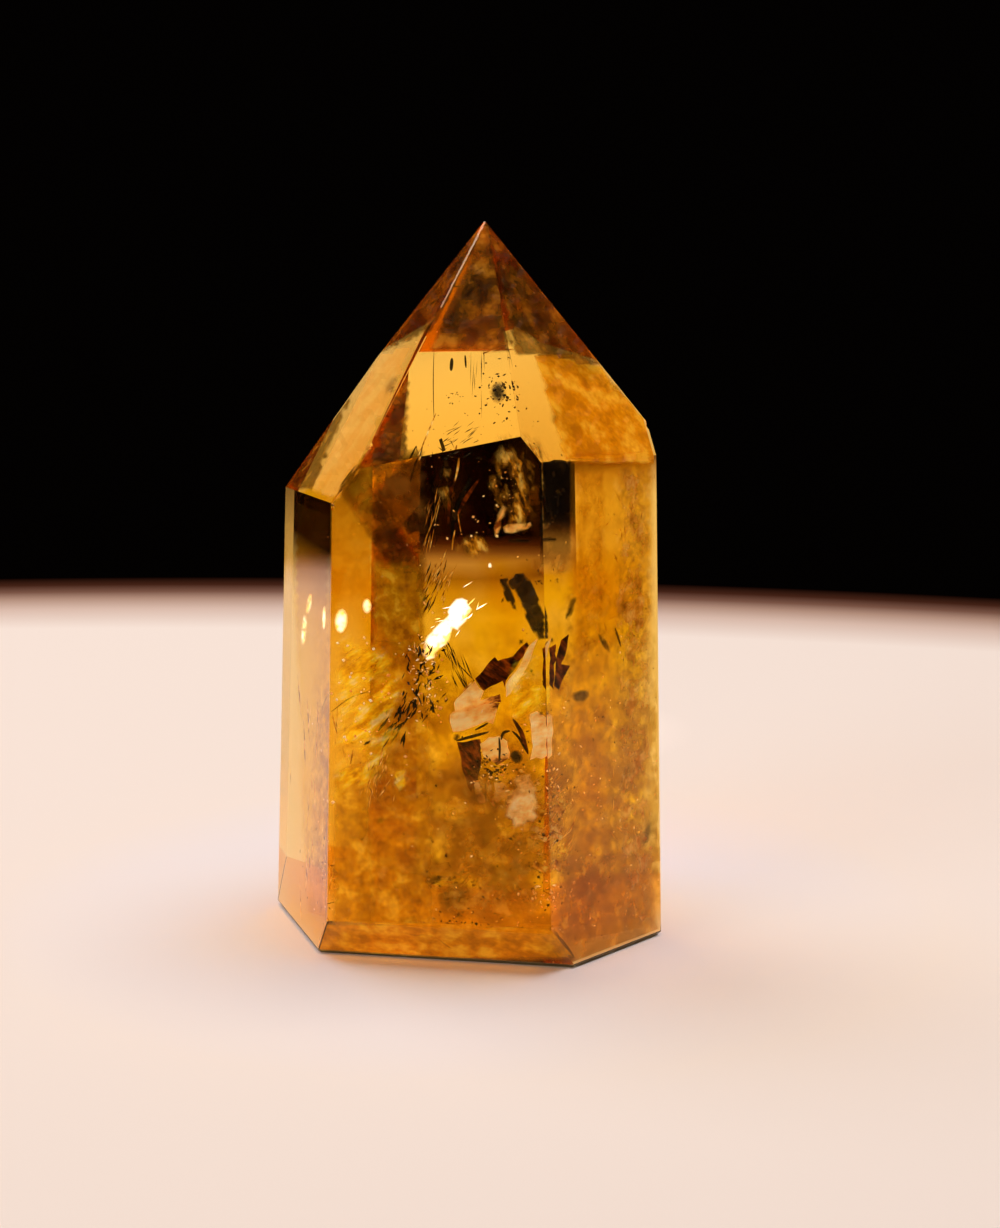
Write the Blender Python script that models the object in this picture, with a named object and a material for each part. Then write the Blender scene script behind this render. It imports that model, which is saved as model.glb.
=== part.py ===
# A citrine point: one natural six-sided quartz crystal, ground flat at its foot so that
# it stands with the tip up. Every face is a flat cut, made the way a stone cutter makes
# it: the rough block loses what lies outside each face, one face after another.
# Metres, +Z up. The origin is the middle of the foot, on the surface it stands on.

from math import cos, radians, sin

import bmesh
import bpy
from mathutils import Matrix, Vector

MM = 0.001

# The tip, as its height over the foot and its place over it.
TIP = Vector((2.5 * MM, -2.82 * MM, 90.0 * MM))

# Each face is given by where it faces, in degrees from the front towards the right, by
# how far it leans back from upright, and by its distance from the middle of the foot,
# square to the face.
PRISM_FACES = {
    "front": (-10.47, 0.72, 24.99 * MM),
    "left": (-72.2, 1.38, 23.03 * MM),
    "right": (49.47, 1.64, 25.98 * MM),
    "back_left": (-130.5, 2.75, 20.4 * MM),
    "back_right": (108.0, 0.73, 20.39 * MM),
    "back": (169.5, 3.2, 26.2 * MM),
}

# The faces of the point all meet in the tip, so only their facing and slope are given.
TIP_FACES = {
    "tip_front": (-21.28, 40.08),
    "tip_left": (-74.95, 34.91),
    "tip_right": (52.5, 36.43),
    "tip_back_left": (-125.0, 37.45),
    "tip_back_right": (112.0, 35.16),
    "tip_back": (170.0, 41.5),
}

# A small extra face on the hidden left shoulder, where the outline bends.
SHOULDER_FACE = (-118.0, 31.6, 46.78 * MM)

# The foot is ground back under the front face; the other foot edges are only broken.
FOOT_CHAMFER = (-10.64, -36.62, 16.73 * MM)
FOOT_EDGE_BREAK = 0.45 * MM

# The ridge between the front and left tip faces is worn to a strip that narrows to
# nothing at this height.
WORN_RIDGE_WIDTH = 0.45 * MM
WORN_RIDGE_END = 65.0 * MM

# Chips: the two faces whose edge is nicked, the height of the nick, the radius of the
# scooped break and how deep it bites.
CHIPS = (
    ("tip_front", "tip_left", 64.6 * MM, 0.7 * MM, 0.20 * MM),
    ("front", "left", 57.3 * MM, 0.6 * MM, 0.24 * MM),
    ("tip_right", "back_right", 65.0 * MM, 0.9 * MM, 0.26 * MM),
    ("front", "left", 5.6 * MM, 0.5 * MM, 0.16 * MM),
)

ROUGH_BLOCK = 140.0 * MM
CITRINE_COLOUR = (0.86, 0.48, 0.06, 1.0)
QUARTZ_IOR = 1.544


def face_normal(facing, lean):
    """Outward direction of a face from its facing and its lean, in degrees."""
    facing, lean = radians(facing), radians(lean)
    return Vector((sin(facing) * cos(lean), -cos(facing) * cos(lean), sin(lean)))


def all_planes():
    """Every flat face as its outward normal and its distance from the origin."""
    planes = {}
    for name, (facing, lean, distance) in PRISM_FACES.items():
        planes[name] = (face_normal(facing, lean), distance)
    for name, (facing, lean) in TIP_FACES.items():
        normal = face_normal(facing, lean)
        planes[name] = (normal, normal.dot(TIP))
    facing, lean, distance = SHOULDER_FACE
    planes["shoulder"] = (face_normal(facing, lean), distance)
    facing, lean, distance = FOOT_CHAMFER
    planes["foot_chamfer"] = (face_normal(facing, lean), distance)
    planes["worn_ridge"] = worn_ridge_plane(planes)
    for name, (facing, lean, distance) in PRISM_FACES.items():
        if name != "front":
            planes["foot_break_" + name] = foot_break_plane(facing, lean, distance)
    return planes


def edge_point(planes, first, second, height):
    """The point at a height on the straight edge where two faces meet."""
    normals = (planes[first][0], planes[second][0], Vector((0.0, 0.0, 1.0)))
    distances = Vector((planes[first][1], planes[second][1], height))
    return Matrix(normals).inverted() @ distances


def worn_ridge_plane(planes):
    """The plane that shaves the ridge at the tip and leaves it at its lower end."""
    end = edge_point(planes, "tip_front", "tip_left", WORN_RIDGE_END)
    front, left = planes["tip_front"][0], planes["tip_left"][0]
    outward = (front + left).normalized()
    half_angle_cos = outward.dot(front)
    depth = 0.5 * WORN_RIDGE_WIDTH * (1.0 - half_angle_cos**2) ** 0.5 / half_angle_cos
    ridge = (TIP - end).normalized()
    across = ridge.cross(outward)
    shaved_tip = TIP - outward * depth
    normal = across.cross(shaved_tip - end).normalized()
    if normal.dot(outward) < 0.0:
        normal.negate()
    return normal, normal.dot(end)


def foot_break_plane(facing, lean, distance):
    """A cut at 45 degrees that takes the sharp edge off between a face and the foot."""
    normal = face_normal(facing, -45.0)
    at_foot = face_normal(facing, 0.0) * (distance / cos(radians(lean)) - FOOT_EDGE_BREAK)
    return normal, normal.dot(at_foot)


def cut_face(mesh, normal, distance):
    """Removes what lies outside one plane and closes the cut with one flat face."""
    geometry = mesh.verts[:] + mesh.edges[:] + mesh.faces[:]
    bmesh.ops.bisect_plane(mesh, geom=geometry, dist=1e-7, plane_co=normal * distance,
                           plane_no=normal, clear_outer=True)
    rim = [edge for edge in mesh.edges if edge.is_boundary]
    if rim:
        bmesh.ops.contextual_create(mesh, geom=rim)


def build_crystal(planes):
    """The crystal's body as one mesh object, standing on the foot."""
    mesh = bmesh.new()
    bmesh.ops.create_cube(mesh, size=ROUGH_BLOCK)
    bmesh.ops.translate(mesh, verts=mesh.verts, vec=(0.0, 0.0, 0.5 * ROUGH_BLOCK))
    for normal, distance in planes.values():
        cut_face(mesh, normal, distance)
    bmesh.ops.recalc_face_normals(mesh, faces=mesh.faces)
    data = bpy.data.meshes.new("crystal_point")
    mesh.to_mesh(data)
    mesh.free()
    crystal = bpy.data.objects.new("crystal_point", data)
    bpy.context.scene.collection.objects.link(crystal)
    return crystal


def chip_cutter(name, centre, radius):
    """A small faceted ball, the shape that a conchoidal chip leaves behind."""
    mesh = bmesh.new()
    bmesh.ops.create_icosphere(mesh, subdivisions=2, radius=radius)
    bmesh.ops.translate(mesh, verts=mesh.verts, vec=centre)
    data = bpy.data.meshes.new(name)
    mesh.to_mesh(data)
    mesh.free()
    cutter = bpy.data.objects.new(name, data)
    cutter.hide_render = True
    cutter.display_type = "WIRE"
    bpy.context.scene.collection.objects.link(cutter)
    return cutter


def add_chips(crystal, planes):
    """Breaks a small scoop out of each nicked edge."""
    for number, (first, second, height, radius, bite) in enumerate(CHIPS, start=1):
        outward = (planes[first][0] + planes[second][0]).normalized()
        centre = edge_point(planes, first, second, height) + outward * (radius - bite)
        cutter = chip_cutter("chip_cutter_%d" % number, centre, radius)
        chip = crystal.modifiers.new("chip_%d" % number, "BOOLEAN")
        chip.operation = "DIFFERENCE"
        chip.solver = "EXACT"
        chip.object = cutter


def citrine():
    """Clear yellow-brown quartz."""
    material = bpy.data.materials.new("citrine")
    material.use_nodes = True
    shader = material.node_tree.nodes["Principled BSDF"]
    shader.inputs["Base Color"].default_value = CITRINE_COLOUR
    shader.inputs["Metallic"].default_value = 0.0
    shader.inputs["Roughness"].default_value = 0.03
    shader.inputs["IOR"].default_value = QUARTZ_IOR
    shader.inputs["Transmission Weight"].default_value = 1.0
    return material


def main():
    for old in list(bpy.data.objects):
        bpy.data.objects.remove(old, do_unlink=True)
    planes = all_planes()
    crystal = build_crystal(planes)
    add_chips(crystal, planes)
    crystal.data.materials.append(citrine())


main()
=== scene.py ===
from math import cos, pi, radians, sin
from random import Random

import bmesh
import bpy
from mathutils import Matrix, Vector, noise
from mathutils.geometry import delaunay_2d_cdt


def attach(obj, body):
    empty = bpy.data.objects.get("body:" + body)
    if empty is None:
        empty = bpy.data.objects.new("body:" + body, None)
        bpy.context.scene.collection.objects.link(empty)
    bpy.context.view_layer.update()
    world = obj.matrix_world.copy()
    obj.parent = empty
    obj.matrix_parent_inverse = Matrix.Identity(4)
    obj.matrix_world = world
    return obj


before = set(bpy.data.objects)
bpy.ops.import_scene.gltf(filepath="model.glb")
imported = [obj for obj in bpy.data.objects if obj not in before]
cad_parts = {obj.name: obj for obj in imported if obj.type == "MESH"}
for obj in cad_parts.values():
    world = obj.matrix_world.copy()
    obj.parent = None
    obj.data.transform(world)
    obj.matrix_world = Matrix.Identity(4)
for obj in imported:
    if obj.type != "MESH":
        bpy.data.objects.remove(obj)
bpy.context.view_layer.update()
mm = 0.001
print("frame loaded")


class Wire:  # one output socket, so that shader maths reads as Python
    def __init__(self, look, socket):
        self.look = look
        self.socket = socket

    def maths(self, operation, *values):
        made = self.look.tree.nodes.new("ShaderNodeMath")
        made.operation = operation
        for place, value in zip(made.inputs, values):
            self.look.feed(place, value)
        return Wire(self.look, made.outputs[0])

    def __add__(self, other):
        return self.maths("ADD", self, other)

    def __sub__(self, other):
        return self.maths("SUBTRACT", self, other)

    def __rsub__(self, other):
        return self.maths("SUBTRACT", other, self)

    def __mul__(self, other):
        return self.maths("MULTIPLY", self, other)

    __radd__ = __add__
    __rmul__ = __mul__


class Look:  # a material while it is being wired
    def __init__(self, name):
        self.material = bpy.data.materials.new(name)
        self.material.use_nodes = True
        self.tree = self.material.node_tree
        self.tree.nodes.clear()

    def feed(self, place, value):
        if isinstance(value, Wire):
            self.tree.links.new(value.socket, place)
        elif isinstance(value, (tuple, list)) and place.type == "RGBA":
            place.default_value = (*value[:3], 1.0)
        else:
            place.default_value = value

    def node(self, kind, settings=None, sockets=None, out=0):
        made = self.tree.nodes.new("ShaderNode" + kind)
        for name, value in (settings or {}).items():
            if name == "stops":
                self.setStops(made.color_ramp, value)
            else:
                setattr(made, name, value)
        for name, value in (sockets or {}).items():
            self.feed(made.inputs[name], value)
        return Wire(self, made.outputs[out]) if made.outputs else None

    def setStops(self, ramp, stops):
        while len(ramp.elements) < len(stops):
            ramp.elements.new(1.0)
        for element, (place, colour) in zip(ramp.elements, stops):
            element.position = place
            element.color = (*colour, 1.0)

    def finish(self, surface, volume=None):
        sockets = {"Surface": surface}
        if volume is not None:
            sockets["Volume"] = volume
        self.node("OutputMaterial", None, sockets)
        return self.material


def tone(red, green, blue):  # a colour as a screen shows it, turned into light
    return tuple(part / 255 / 12.92 if part < 10.3 else ((part / 255 + 0.055) / 1.055) ** 2.4
                 for part in (red, green, blue))


# The stage: camera, floor, dark surround and lamps

cameraView = {
    "place": (4.4 * mm, -364.62 * mm, 116.4 * mm),
    "tiltDown": 11.9,  # degrees below level
    "lens": 85.0,
    "clip": (0.01, 20.0),
}


def makeCamera():
    data = bpy.data.cameras.new("photoCamera")
    data.lens = cameraView["lens"]
    data.clip_start, data.clip_end = cameraView["clip"]
    camera = bpy.data.objects.new("photoCamera", data)
    camera.location = cameraView["place"]
    camera.rotation_euler = (radians(90.0 - cameraView["tiltDown"]), 0.0, 0.0)
    bpy.context.scene.collection.objects.link(camera)
    bpy.context.scene.camera = camera
    bpy.context.scene.view_settings.view_transform = "Standard"


tableTop = {
    "middle": (-55.0 * mm, -368.62 * mm),
    "radius": 594.0 * mm,
    "height": -0.08 * mm,  # just clear of the foot, so that light reaches the floor beneath it
    "rimFade": 50.0 * mm,
    "frontFade": (-190.0 * mm, -112.0 * mm),  # the near side falls into shade, out of the picture
    # painted shade: the floor's far right side falls dark as well
    "rightFade": (240.0 * mm, 130.0 * mm),
    "colour": (0.84, 0.715, 0.65),
    "shade": (0.003, 0.002, 0.0015),
    "matte": 0.9,
    "rimShades": [(0.0, (0.0, 0.0, 0.0)), (0.16, (0.05, 0.015, 0.008)), (0.30, (0.17, 0.08, 0.055)),
                  (0.44, (0.40, 0.25, 0.19)), (0.64, (0.63, 0.46, 0.39))],  # from the rim inwards
    # Two places beside the picture that lie in shade
    "darkCorner": {"middle": (215.0 * mm, 160.0 * mm), "full": 72.0 * mm, "gone": 118.0 * mm},
    "darkSide": {"middle": (-240.0 * mm, 275.0 * mm), "full": 78.0 * mm, "gone": 104.0 * mm},
    # Painted light and shade: behind the crystal the floor is painted brighter, and under it cooler and a little
    # darker
    "paintedLightPatch": {"middle": (8.0 * mm, 96.0 * mm), "full": 8.0 * mm, "gone": 28.0 * mm,
                    "colour": (1.0, 0.84, 0.76)},
    "paintedCoolShade": {"middle": (0.0, 0.0), "full": 30.0 * mm, "gone": 62.0 * mm, "colour": (0.77, 0.70, 0.74)},
    # The rim lies further back at the far left and where the crystal hides it
    "leftBack": {"from": -112.0 * mm, "to": -132.0 * mm, "extra": 26.0 * mm},
    "hiddenBack": {"middle": (2.0 * mm, 230.0 * mm), "full": 16.0 * mm, "gone": 28.0 * mm,
                   "extra": 18.0 * mm},
    "spare": 40.0 * mm,  # the mesh reaches this far past the rim there
    "sides": 600,
}


def makeTableTop():
    t = tableTop
    points = []
    for step in range(t["sides"]):
        angle = 2 * pi * step / t["sides"]
        across = t["middle"][0] + t["radius"] * cos(angle)
        hidden = abs(across - t["hiddenBack"]["middle"][0]) < t["hiddenBack"]["gone"]
        reach = t["radius"] + (t["spare"] if hidden or across < t["leftBack"]["from"] else 0.0)
        points.append((t["middle"][0] + reach * cos(angle), t["middle"][1] + reach * sin(angle),
                       t["height"]))
    data = bpy.data.meshes.new("tableTop")
    data.from_pydata(points, [], [list(range(len(points)))])
    top = bpy.data.objects.new("tableTop", data)
    bpy.context.scene.collection.objects.link(top)
    look = Look("paleTable")
    place = look.node("NewGeometry")

    def away(middle):  # distance over the floor from a point of it
        offset = look.node("VectorMath", {"operation": "SUBTRACT"}, {0: place, 1: (*middle, t["height"])})
        return look.node("VectorMath", {"operation": "LENGTH"}, {0: offset}, 1)

    def ramp(value, low, high):  # 0 at the first value, 1 at the second
        return look.node("Clamp", None, {0: (value - low) * (1.0 / (high - low))})

    left = look.node("SeparateXYZ", None, {0: place}, 0)
    ahead = look.node("SeparateXYZ", None, {0: place}, 1)
    stretch, hidden = t["leftBack"], t["hiddenBack"]
    further = (ramp(left, stretch["from"], stretch["to"]) * stretch["extra"]
               + ramp(away(hidden["middle"]), hidden["gone"], hidden["full"]) * hidden["extra"])
    inward = (t["radius"] - away(t["middle"]) + further) * (1.0 / t["rimFade"])
    lit = ramp(ahead, *t["frontFade"]) * ramp(left, *t["rightFade"])
    for dark in (t["darkCorner"], t["darkSide"]):
        lit = lit * ramp(away(dark["middle"]), dark["full"], dark["gone"])
    shade = look.node("ValToRGB", {"stops": t["rimShades"] + [(1.0, t["colour"])]}, {"Fac": inward})
    for patch in (t["paintedLightPatch"], t["paintedCoolShade"]):
        amount = ramp(away(patch["middle"]), patch["gone"], patch["full"])
        shade = look.node("Mix", {"data_type": "RGBA"}, {0: amount, 6: shade, 7: patch["colour"]}, 2)
    shaded = look.node("Mix", {"data_type": "RGBA"}, {0: lit, 6: t["shade"], 7: shade}, 2)
    surface = look.node("BsdfPrincipled", None, {
        "Base Color": shaded, "Roughness": t["matte"], "Specular IOR Level": 0.0})
    data.materials.append(look.finish(surface))


lamps = {
    "backLeft": {"place": (-0.40, 0.34, 0.84), "size": 0.60, "watts": 4.4, "colour": (1.0, 0.97, 0.95)},
    "overhead": {"place": (0.30, 0.12, 1.25), "size": 0.80, "watts": 11.6, "colour": (1.0, 0.97, 0.95)},
    "leftFront": {"place": (-0.62, -0.62, 0.46), "size": 0.45, "watts": 2.6, "colour": (1.0, 0.84, 0.66)},
}
aimPoint = Vector((0.0, 0.0, 0.035))
room = {"colour": (0.010, 0.006, 0.005), "strength": 0.08}


def makeLampsAndRoom():
    for name, lamp in lamps.items():
        data = bpy.data.lights.new(name, "AREA")
        data.shape = "DISK"
        data.size = lamp["size"]
        data.energy = lamp["watts"]
        data.color = lamp["colour"]
        made = bpy.data.objects.new(name, data)
        made.location = lamp["place"]
        made.rotation_euler = (aimPoint - made.location).to_track_quat("-Z", "Y").to_euler()
        bpy.context.scene.collection.objects.link(made)
    world = bpy.data.worlds.new("darkRoom")
    world.use_nodes = True
    background = world.node_tree.nodes["Background"]
    background.inputs["Color"].default_value = (*room["colour"], 1.0)
    background.inputs["Strength"].default_value = room["strength"]
    bpy.context.scene.world = world


makeCamera()
makeTableTop()
makeLampsAndRoom()
print("stage ready")

# The crystal's own body: polished clear quartz, yellow-brown through its depth

citrine = {
    "ior": 1.544,
    "polish": 0.0,
    "sheen": (0.50, 0.34, 0.04),  # mirror tint where a face is seen square on
    "depthColour": (0.985, 0.785, 0.015),
    "depthDensity": 57.0,  # per metre
}


def citrineLook():
    c = citrine
    look = Look("citrine")
    glass = look.node("BsdfPrincipled", None, {
        "Base Color": (1.0, 1.0, 1.0), "Roughness": c["polish"], "IOR": c["ior"], "Transmission Weight": 1.0,
        "Specular Tint": c["sheen"]})
    film = look.node("BsdfTransparent", None, {"Color": (1.0, 1.0, 1.0)})
    lampRay = look.node("LightPath", None, None, 1)
    surface = look.node("MixShader", None, {0: lampRay, 1: glass, 2: film})
    inside = look.node("VolumeAbsorption", None, {"Color": c["depthColour"], "Density": c["depthDensity"]})
    return look.finish(surface, inside)


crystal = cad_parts["crystal_point"]
crystal.data.materials.clear()
crystal.data.materials.append(citrineLook())
for face in crystal.data.polygons:
    face.use_smooth = False
print("crystal polished")

# Sight lines: where a point of the photograph lies inside the crystal. All x and y below are photo
# points, 1000 across and 1228 down

photoFrame = {"width": 1000.0, "height": 1228.0, "sensor": 36.0}
pointSize = 0.131 * mm  # what one photo point spans at the crystal
skin = 0.4 * mm  # nothing inside comes nearer to a face than this, unless a piece says so
largeSide = 2.2 * mm  # chips and broken edges are smaller than a square of this side
samePoint = 1e-7


def largeFaces():
    groups = {}
    for face in crystal.data.polygons:
        key = tuple(round(part, 2) for part in face.normal)
        area, normal, distance = groups.get(key, (0.0, face.normal.copy(), face.normal.dot(face.center)))
        groups[key] = (area + face.area, normal, distance)
    return [(normal, distance) for area, normal, distance in groups.values() if area > largeSide**2]


flatFaces = largeFaces()


class Sight:  # the line of sight through one photo point, bent where it enters the crystal
    def __init__(self, x, y, through=None):
        camera = bpy.context.scene.camera
        turn = camera.rotation_euler.to_matrix()
        focal = cameraView["lens"] / photoFrame["sensor"] * photoFrame["height"]
        aim = Vector((x - photoFrame["width"] / 2, photoFrame["height"] / 2 - y, -focal))
        ahead = turn @ aim.normalized()
        start = camera.location
        if through is None:
            facing = [face for face in flatFaces if face[0].dot(ahead) < -samePoint]
            through = max(facing, key=lambda face: (face[1] - face[0].dot(start)) / face[0].dot(ahead))
        self.through = normal, distance = through
        self.entry = start + ahead * ((distance - normal.dot(start)) / normal.dot(ahead))
        slowing = 1.0 / citrine["ior"]
        slant = -normal.dot(ahead)
        straight = (1.0 - slowing**2 * (1.0 - slant**2)) ** 0.5  # cosine of the bent line with the face
        self.way = slowing * ahead + (slowing * slant - straight) * normal
        right = turn @ Vector((1.0, 0.0, 0.0))
        self.right = (right - self.way * right.dot(self.way)).normalized()
        self.up = self.right.cross(self.way)

    def at(self, depth):
        return self.entry + self.way * depth * mm


def keepInside(mesh, gap):  # cuts away whatever lies outside the crystal
    for normal, distance in flatFaces:
        bmesh.ops.bisect_plane(mesh, geom=mesh.verts[:] + mesh.edges[:] + mesh.faces[:], dist=samePoint,
                               plane_co=normal * (distance - gap), plane_no=normal, clear_outer=True)


def newMesh():
    mesh = bmesh.new()
    return mesh, mesh.verts.layers.float.new("soft")


def makePiece(name, meshes, material, gap=skin):
    whole = newMesh()[0]
    for mesh in meshes:
        keepInside(mesh, gap)
        carrier = bpy.data.meshes.new("carrier")
        mesh.to_mesh(carrier)
        whole.from_mesh(carrier)
        bpy.data.meshes.remove(carrier)
        mesh.free()
    data = bpy.data.meshes.new(name)
    whole.to_mesh(data)
    print(name, len(whole.faces), "faces")
    whole.free()
    data.materials.append(material)
    piece = bpy.data.objects.new(name, data)
    bpy.context.scene.collection.objects.link(piece)
    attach(piece, "root")


# Builders for what lies inside. Depths and reliefs are in millimetres under the face looked through

waves = {"fall": 0.7, "finer": 2.0, "octaves": 3, "hazeOctaves": 4}
rimMargin = 0.4  # of a step, between the rim and the first point inside it
samePhotoPoint = 1e-4
millimetresPerPoint = 0.13
sliverForm = {"bulge": 0.2, "waist": 0.1, "slope": 0.5}
ribbonForm = {"end": 0.15, "tip": 0.03, "cut": 0.25}  # of the width, of the length, of a piece when rounded
speckLength = (0.5, 1.2)
hazeForm = {"turn": 0.6, "lean": (0.9, 2.2), "cell": 1.3}  # radians, radians, millimetres


def ragged(outline, jitter, chance, step=5.0):  # an outline whose edges wander like a fracture's
    points = []
    for start, end in zip(outline, outline[1:] + outline[:1]):
        start, end = Vector(start), Vector(end)
        pieces = max(1, int((end - start).length / step))
        points.append(start)
        for k in range(1, pieces):
            wander = Vector((chance.gauss(0, jitter), chance.gauss(0, jitter)))
            points.append(start.lerp(end, k / pieces) + wander)
    return points


def rimDistance(point, outline):
    nearest = photoFrame["height"]
    for start, end in zip(outline, outline[1:] + outline[:1]):
        run = end - start
        along = max(0.0, min(1.0, (point - start).dot(run) / max(run.length_squared, samePoint)))
        nearest = min(nearest, (point - start - run * along).length)
    return nearest


def within(point, outline):
    inside = False
    for start, end in zip(outline, outline[1:] + outline[:1]):
        if (start.y > point.y) != (end.y > point.y):
            crossing = start.x + (point.y - start.y) / (end.y - start.y) * (end.x - start.x)
            inside = inside != (point.x < crossing)
    return inside


def sheet(outline, depth, tilt=None, relief=0.2, grain=2.0, fade=0.0, jitter=0.8, step=3.5, lowFade=0.0,
          seed=1):
    # A wavy sheet that shows this outline in the picture, alongside the face looked through;
    # a tilt sets it across the line of sight instead, with its right and upper side turned away
    chance = Random(seed)
    rim = ragged(outline, jitter, chance)
    xs, ys = [p.x for p in rim], [p.y for p in rim]
    middle = Sight((min(xs) + max(xs)) / 2, (min(ys) + max(ys)) / 2)
    centre = middle.at(depth)
    facing = middle.through[0]
    if tilt is not None:
        across, upward = (sin(radians(turn)) for turn in tilt)
        facing = (-middle.way + middle.right * across + middle.up * upward).normalized()
    points = list(rim)
    for row in range(int((max(ys) - min(ys)) / step) + 1):
        for column in range(int((max(xs) - min(xs)) / step) + 1):
            point = Vector((min(xs) + (column + 0.5 * (row % 2)) * step, min(ys) + row * step))
            if within(point, rim) and rimDistance(point, rim) > rimMargin * step:
                points.append(point)
    rimEdges = [(k, (k + 1) % len(rim)) for k in range(len(rim))]
    flat, edges, faces = delaunay_2d_cdt(points, rimEdges, [], 1, samePhotoPoint)[:3]
    mesh, soft = newMesh()
    made = []
    for point in flat:
        sight = Sight(point.x, point.y, middle.through)
        place = sight.entry + sight.way * (facing.dot(centre - sight.entry) / facing.dot(sight.way))
        wave = noise.fractal(place / (grain * mm) + Vector((seed * 7.3, 0.0, 0.0)), waves["fall"],
                             waves["finer"], waves["octaves"])
        vertex = mesh.verts.new(place + facing * wave * relief * mm)
        vertex[soft] = min(1.0, rimDistance(point, rim) / fade) if fade else 1.0
        if lowFade:
            vertex[soft] *= max(0.0, min(1.0, (max(ys) - point.y) / lowFade))
        made.append(vertex)
    for corners in faces:
        mesh.faces.new([made[k] for k in corners])
    return mesh


def oval(x, y, width, height, turn=0.0, sides=12):
    slant = radians(turn)
    points = []
    for k in range(sides):
        across, along = cos(2 * pi * k / sides) * width / 2, sin(2 * pi * k / sides) * height / 2
        points.append((x + across * cos(slant) - along * sin(slant),
                       y + across * sin(slant) + along * cos(slant)))
    return points


def onPath(path, share):  # a point this share of the way along a path, and the way it runs there
    lengths = [(Vector(b) - Vector(a)).length for a, b in zip(path, path[1:])]
    left = share * sum(lengths)
    for a, b, length in zip(path, path[1:], lengths):
        if left <= length or b is path[-1]:
            return Vector(a).lerp(Vector(b), min(1.0, left / length)), (Vector(b) - Vector(a)) / length
        left -= length


def slivers(path, count, spread, length, width, depth=(4, 8), wander=0.12, seed=1):
    # Thin needles strewn along a path, each pointing roughly the way the path runs
    chance = Random(seed)
    mesh, soft = newMesh()
    for number in range(count):
        middle, run = onPath(path, chance.random())
        side = Vector((-run.y, run.x))
        middle += side * chance.gauss(0, spread / 2) + run * chance.gauss(0, spread / 3)
        run = (run + side * chance.gauss(0, wander)).normalized()
        side = Vector((-run.y, run.x))
        half, broad = chance.uniform(*length) / 2, chance.uniform(*width) / 2
        near = chance.uniform(*depth)
        slope = chance.uniform(-sliverForm["slope"], sliverForm["slope"]) * millimetresPerPoint
        corners = []
        for along, across in ((-half, 0.0), (half * sliverForm["bulge"], broad), (half, 0.0),
                              (-half * sliverForm["waist"], -broad)):
            point = middle + run * along + side * across
            corners.append(mesh.verts.new(Sight(point.x, point.y).at(near + slope * along)))
            corners[-1][soft] = 1.0
        mesh.faces.new(corners)
    return mesh


def ribbon(path, width, depth=6.0, rounds=3, slope=0.0):
    # One fine line through these points, rounded and tapered, such as a crack seen edge on
    points = [Vector(point) for point in path]
    for turn in range(rounds):
        finer = [points[0]]
        for a, b in zip(points, points[1:]):
            finer += [a.lerp(b, ribbonForm["cut"]), a.lerp(b, 1.0 - ribbonForm["cut"])]
        points = finer + [points[-1]]
    mesh, soft = newMesh()
    rails = []
    for k, point in enumerate(points):
        run = (points[min(k + 1, len(points) - 1)] - points[max(k - 1, 0)]).normalized()
        share = k / (len(points) - 1)
        swell = sin(pi * min(1.0 - ribbonForm["tip"], max(ribbonForm["tip"], share)))
        half = width / 2 * (ribbonForm["end"] + (1.0 - ribbonForm["end"]) * swell)
        side = Vector((-run.y, run.x)) * half
        pair = [mesh.verts.new(Sight(*(point + side * way)).at(depth + slope * share)) for way in (1, -1)]
        for vertex in pair:
            vertex[soft] = 1.0
        rails.append(pair)
    for (a, b), (c, d) in zip(rails, rails[1:]):
        mesh.faces.new((a, b, d, c))
    return mesh


def specks(middle, spread, count, size, depth=(3, 12), flat=0.35, seed=1):
    # Small squashed lumps strewn round a point, sizes in photo points
    chance = Random(seed)
    mesh, soft = newMesh()
    for number in range(count):
        point = Vector(middle) + Vector((chance.gauss(0, spread[0] / 2), chance.gauss(0, spread[1] / 2)))
        centre = Sight(*point).at(chance.uniform(*depth))
        across = chance.uniform(*size) * pointSize / 2
        turn = Matrix.Rotation(chance.uniform(0, 2 * pi), 3, [chance.gauss(0, 1) for part in "xyz"])
        ends = [turn @ Vector((across * chance.uniform(*speckLength), 0, 0)), turn @ Vector((0, across, 0)),
                turn @ Vector((0, 0, across * flat))]
        corners = [mesh.verts.new(centre + way * end) for end in ends for way in (1, -1)]
        for vertex in corners:
            vertex[soft] = 1.0
        a, b, c, d, e, f = corners
        for face in ((a, c, e), (c, b, e), (b, d, e), (d, a, e), (c, a, f), (b, c, f), (d, b, f), (a, d, f)):
            mesh.faces.new(face)
    return mesh


def shapes(group):  # every mesh that a piece's dictionary asks for
    return ([sheet(**one) for one in group.get("sheets", {}).values()]
            + [ribbon(**one) for one in group.get("lines", {}).values()]
            + [slivers(**one) for one in group.get("bundles", {}).values()]
            + [specks(**one) for one in group.get("swarms", {}).values()])


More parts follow.
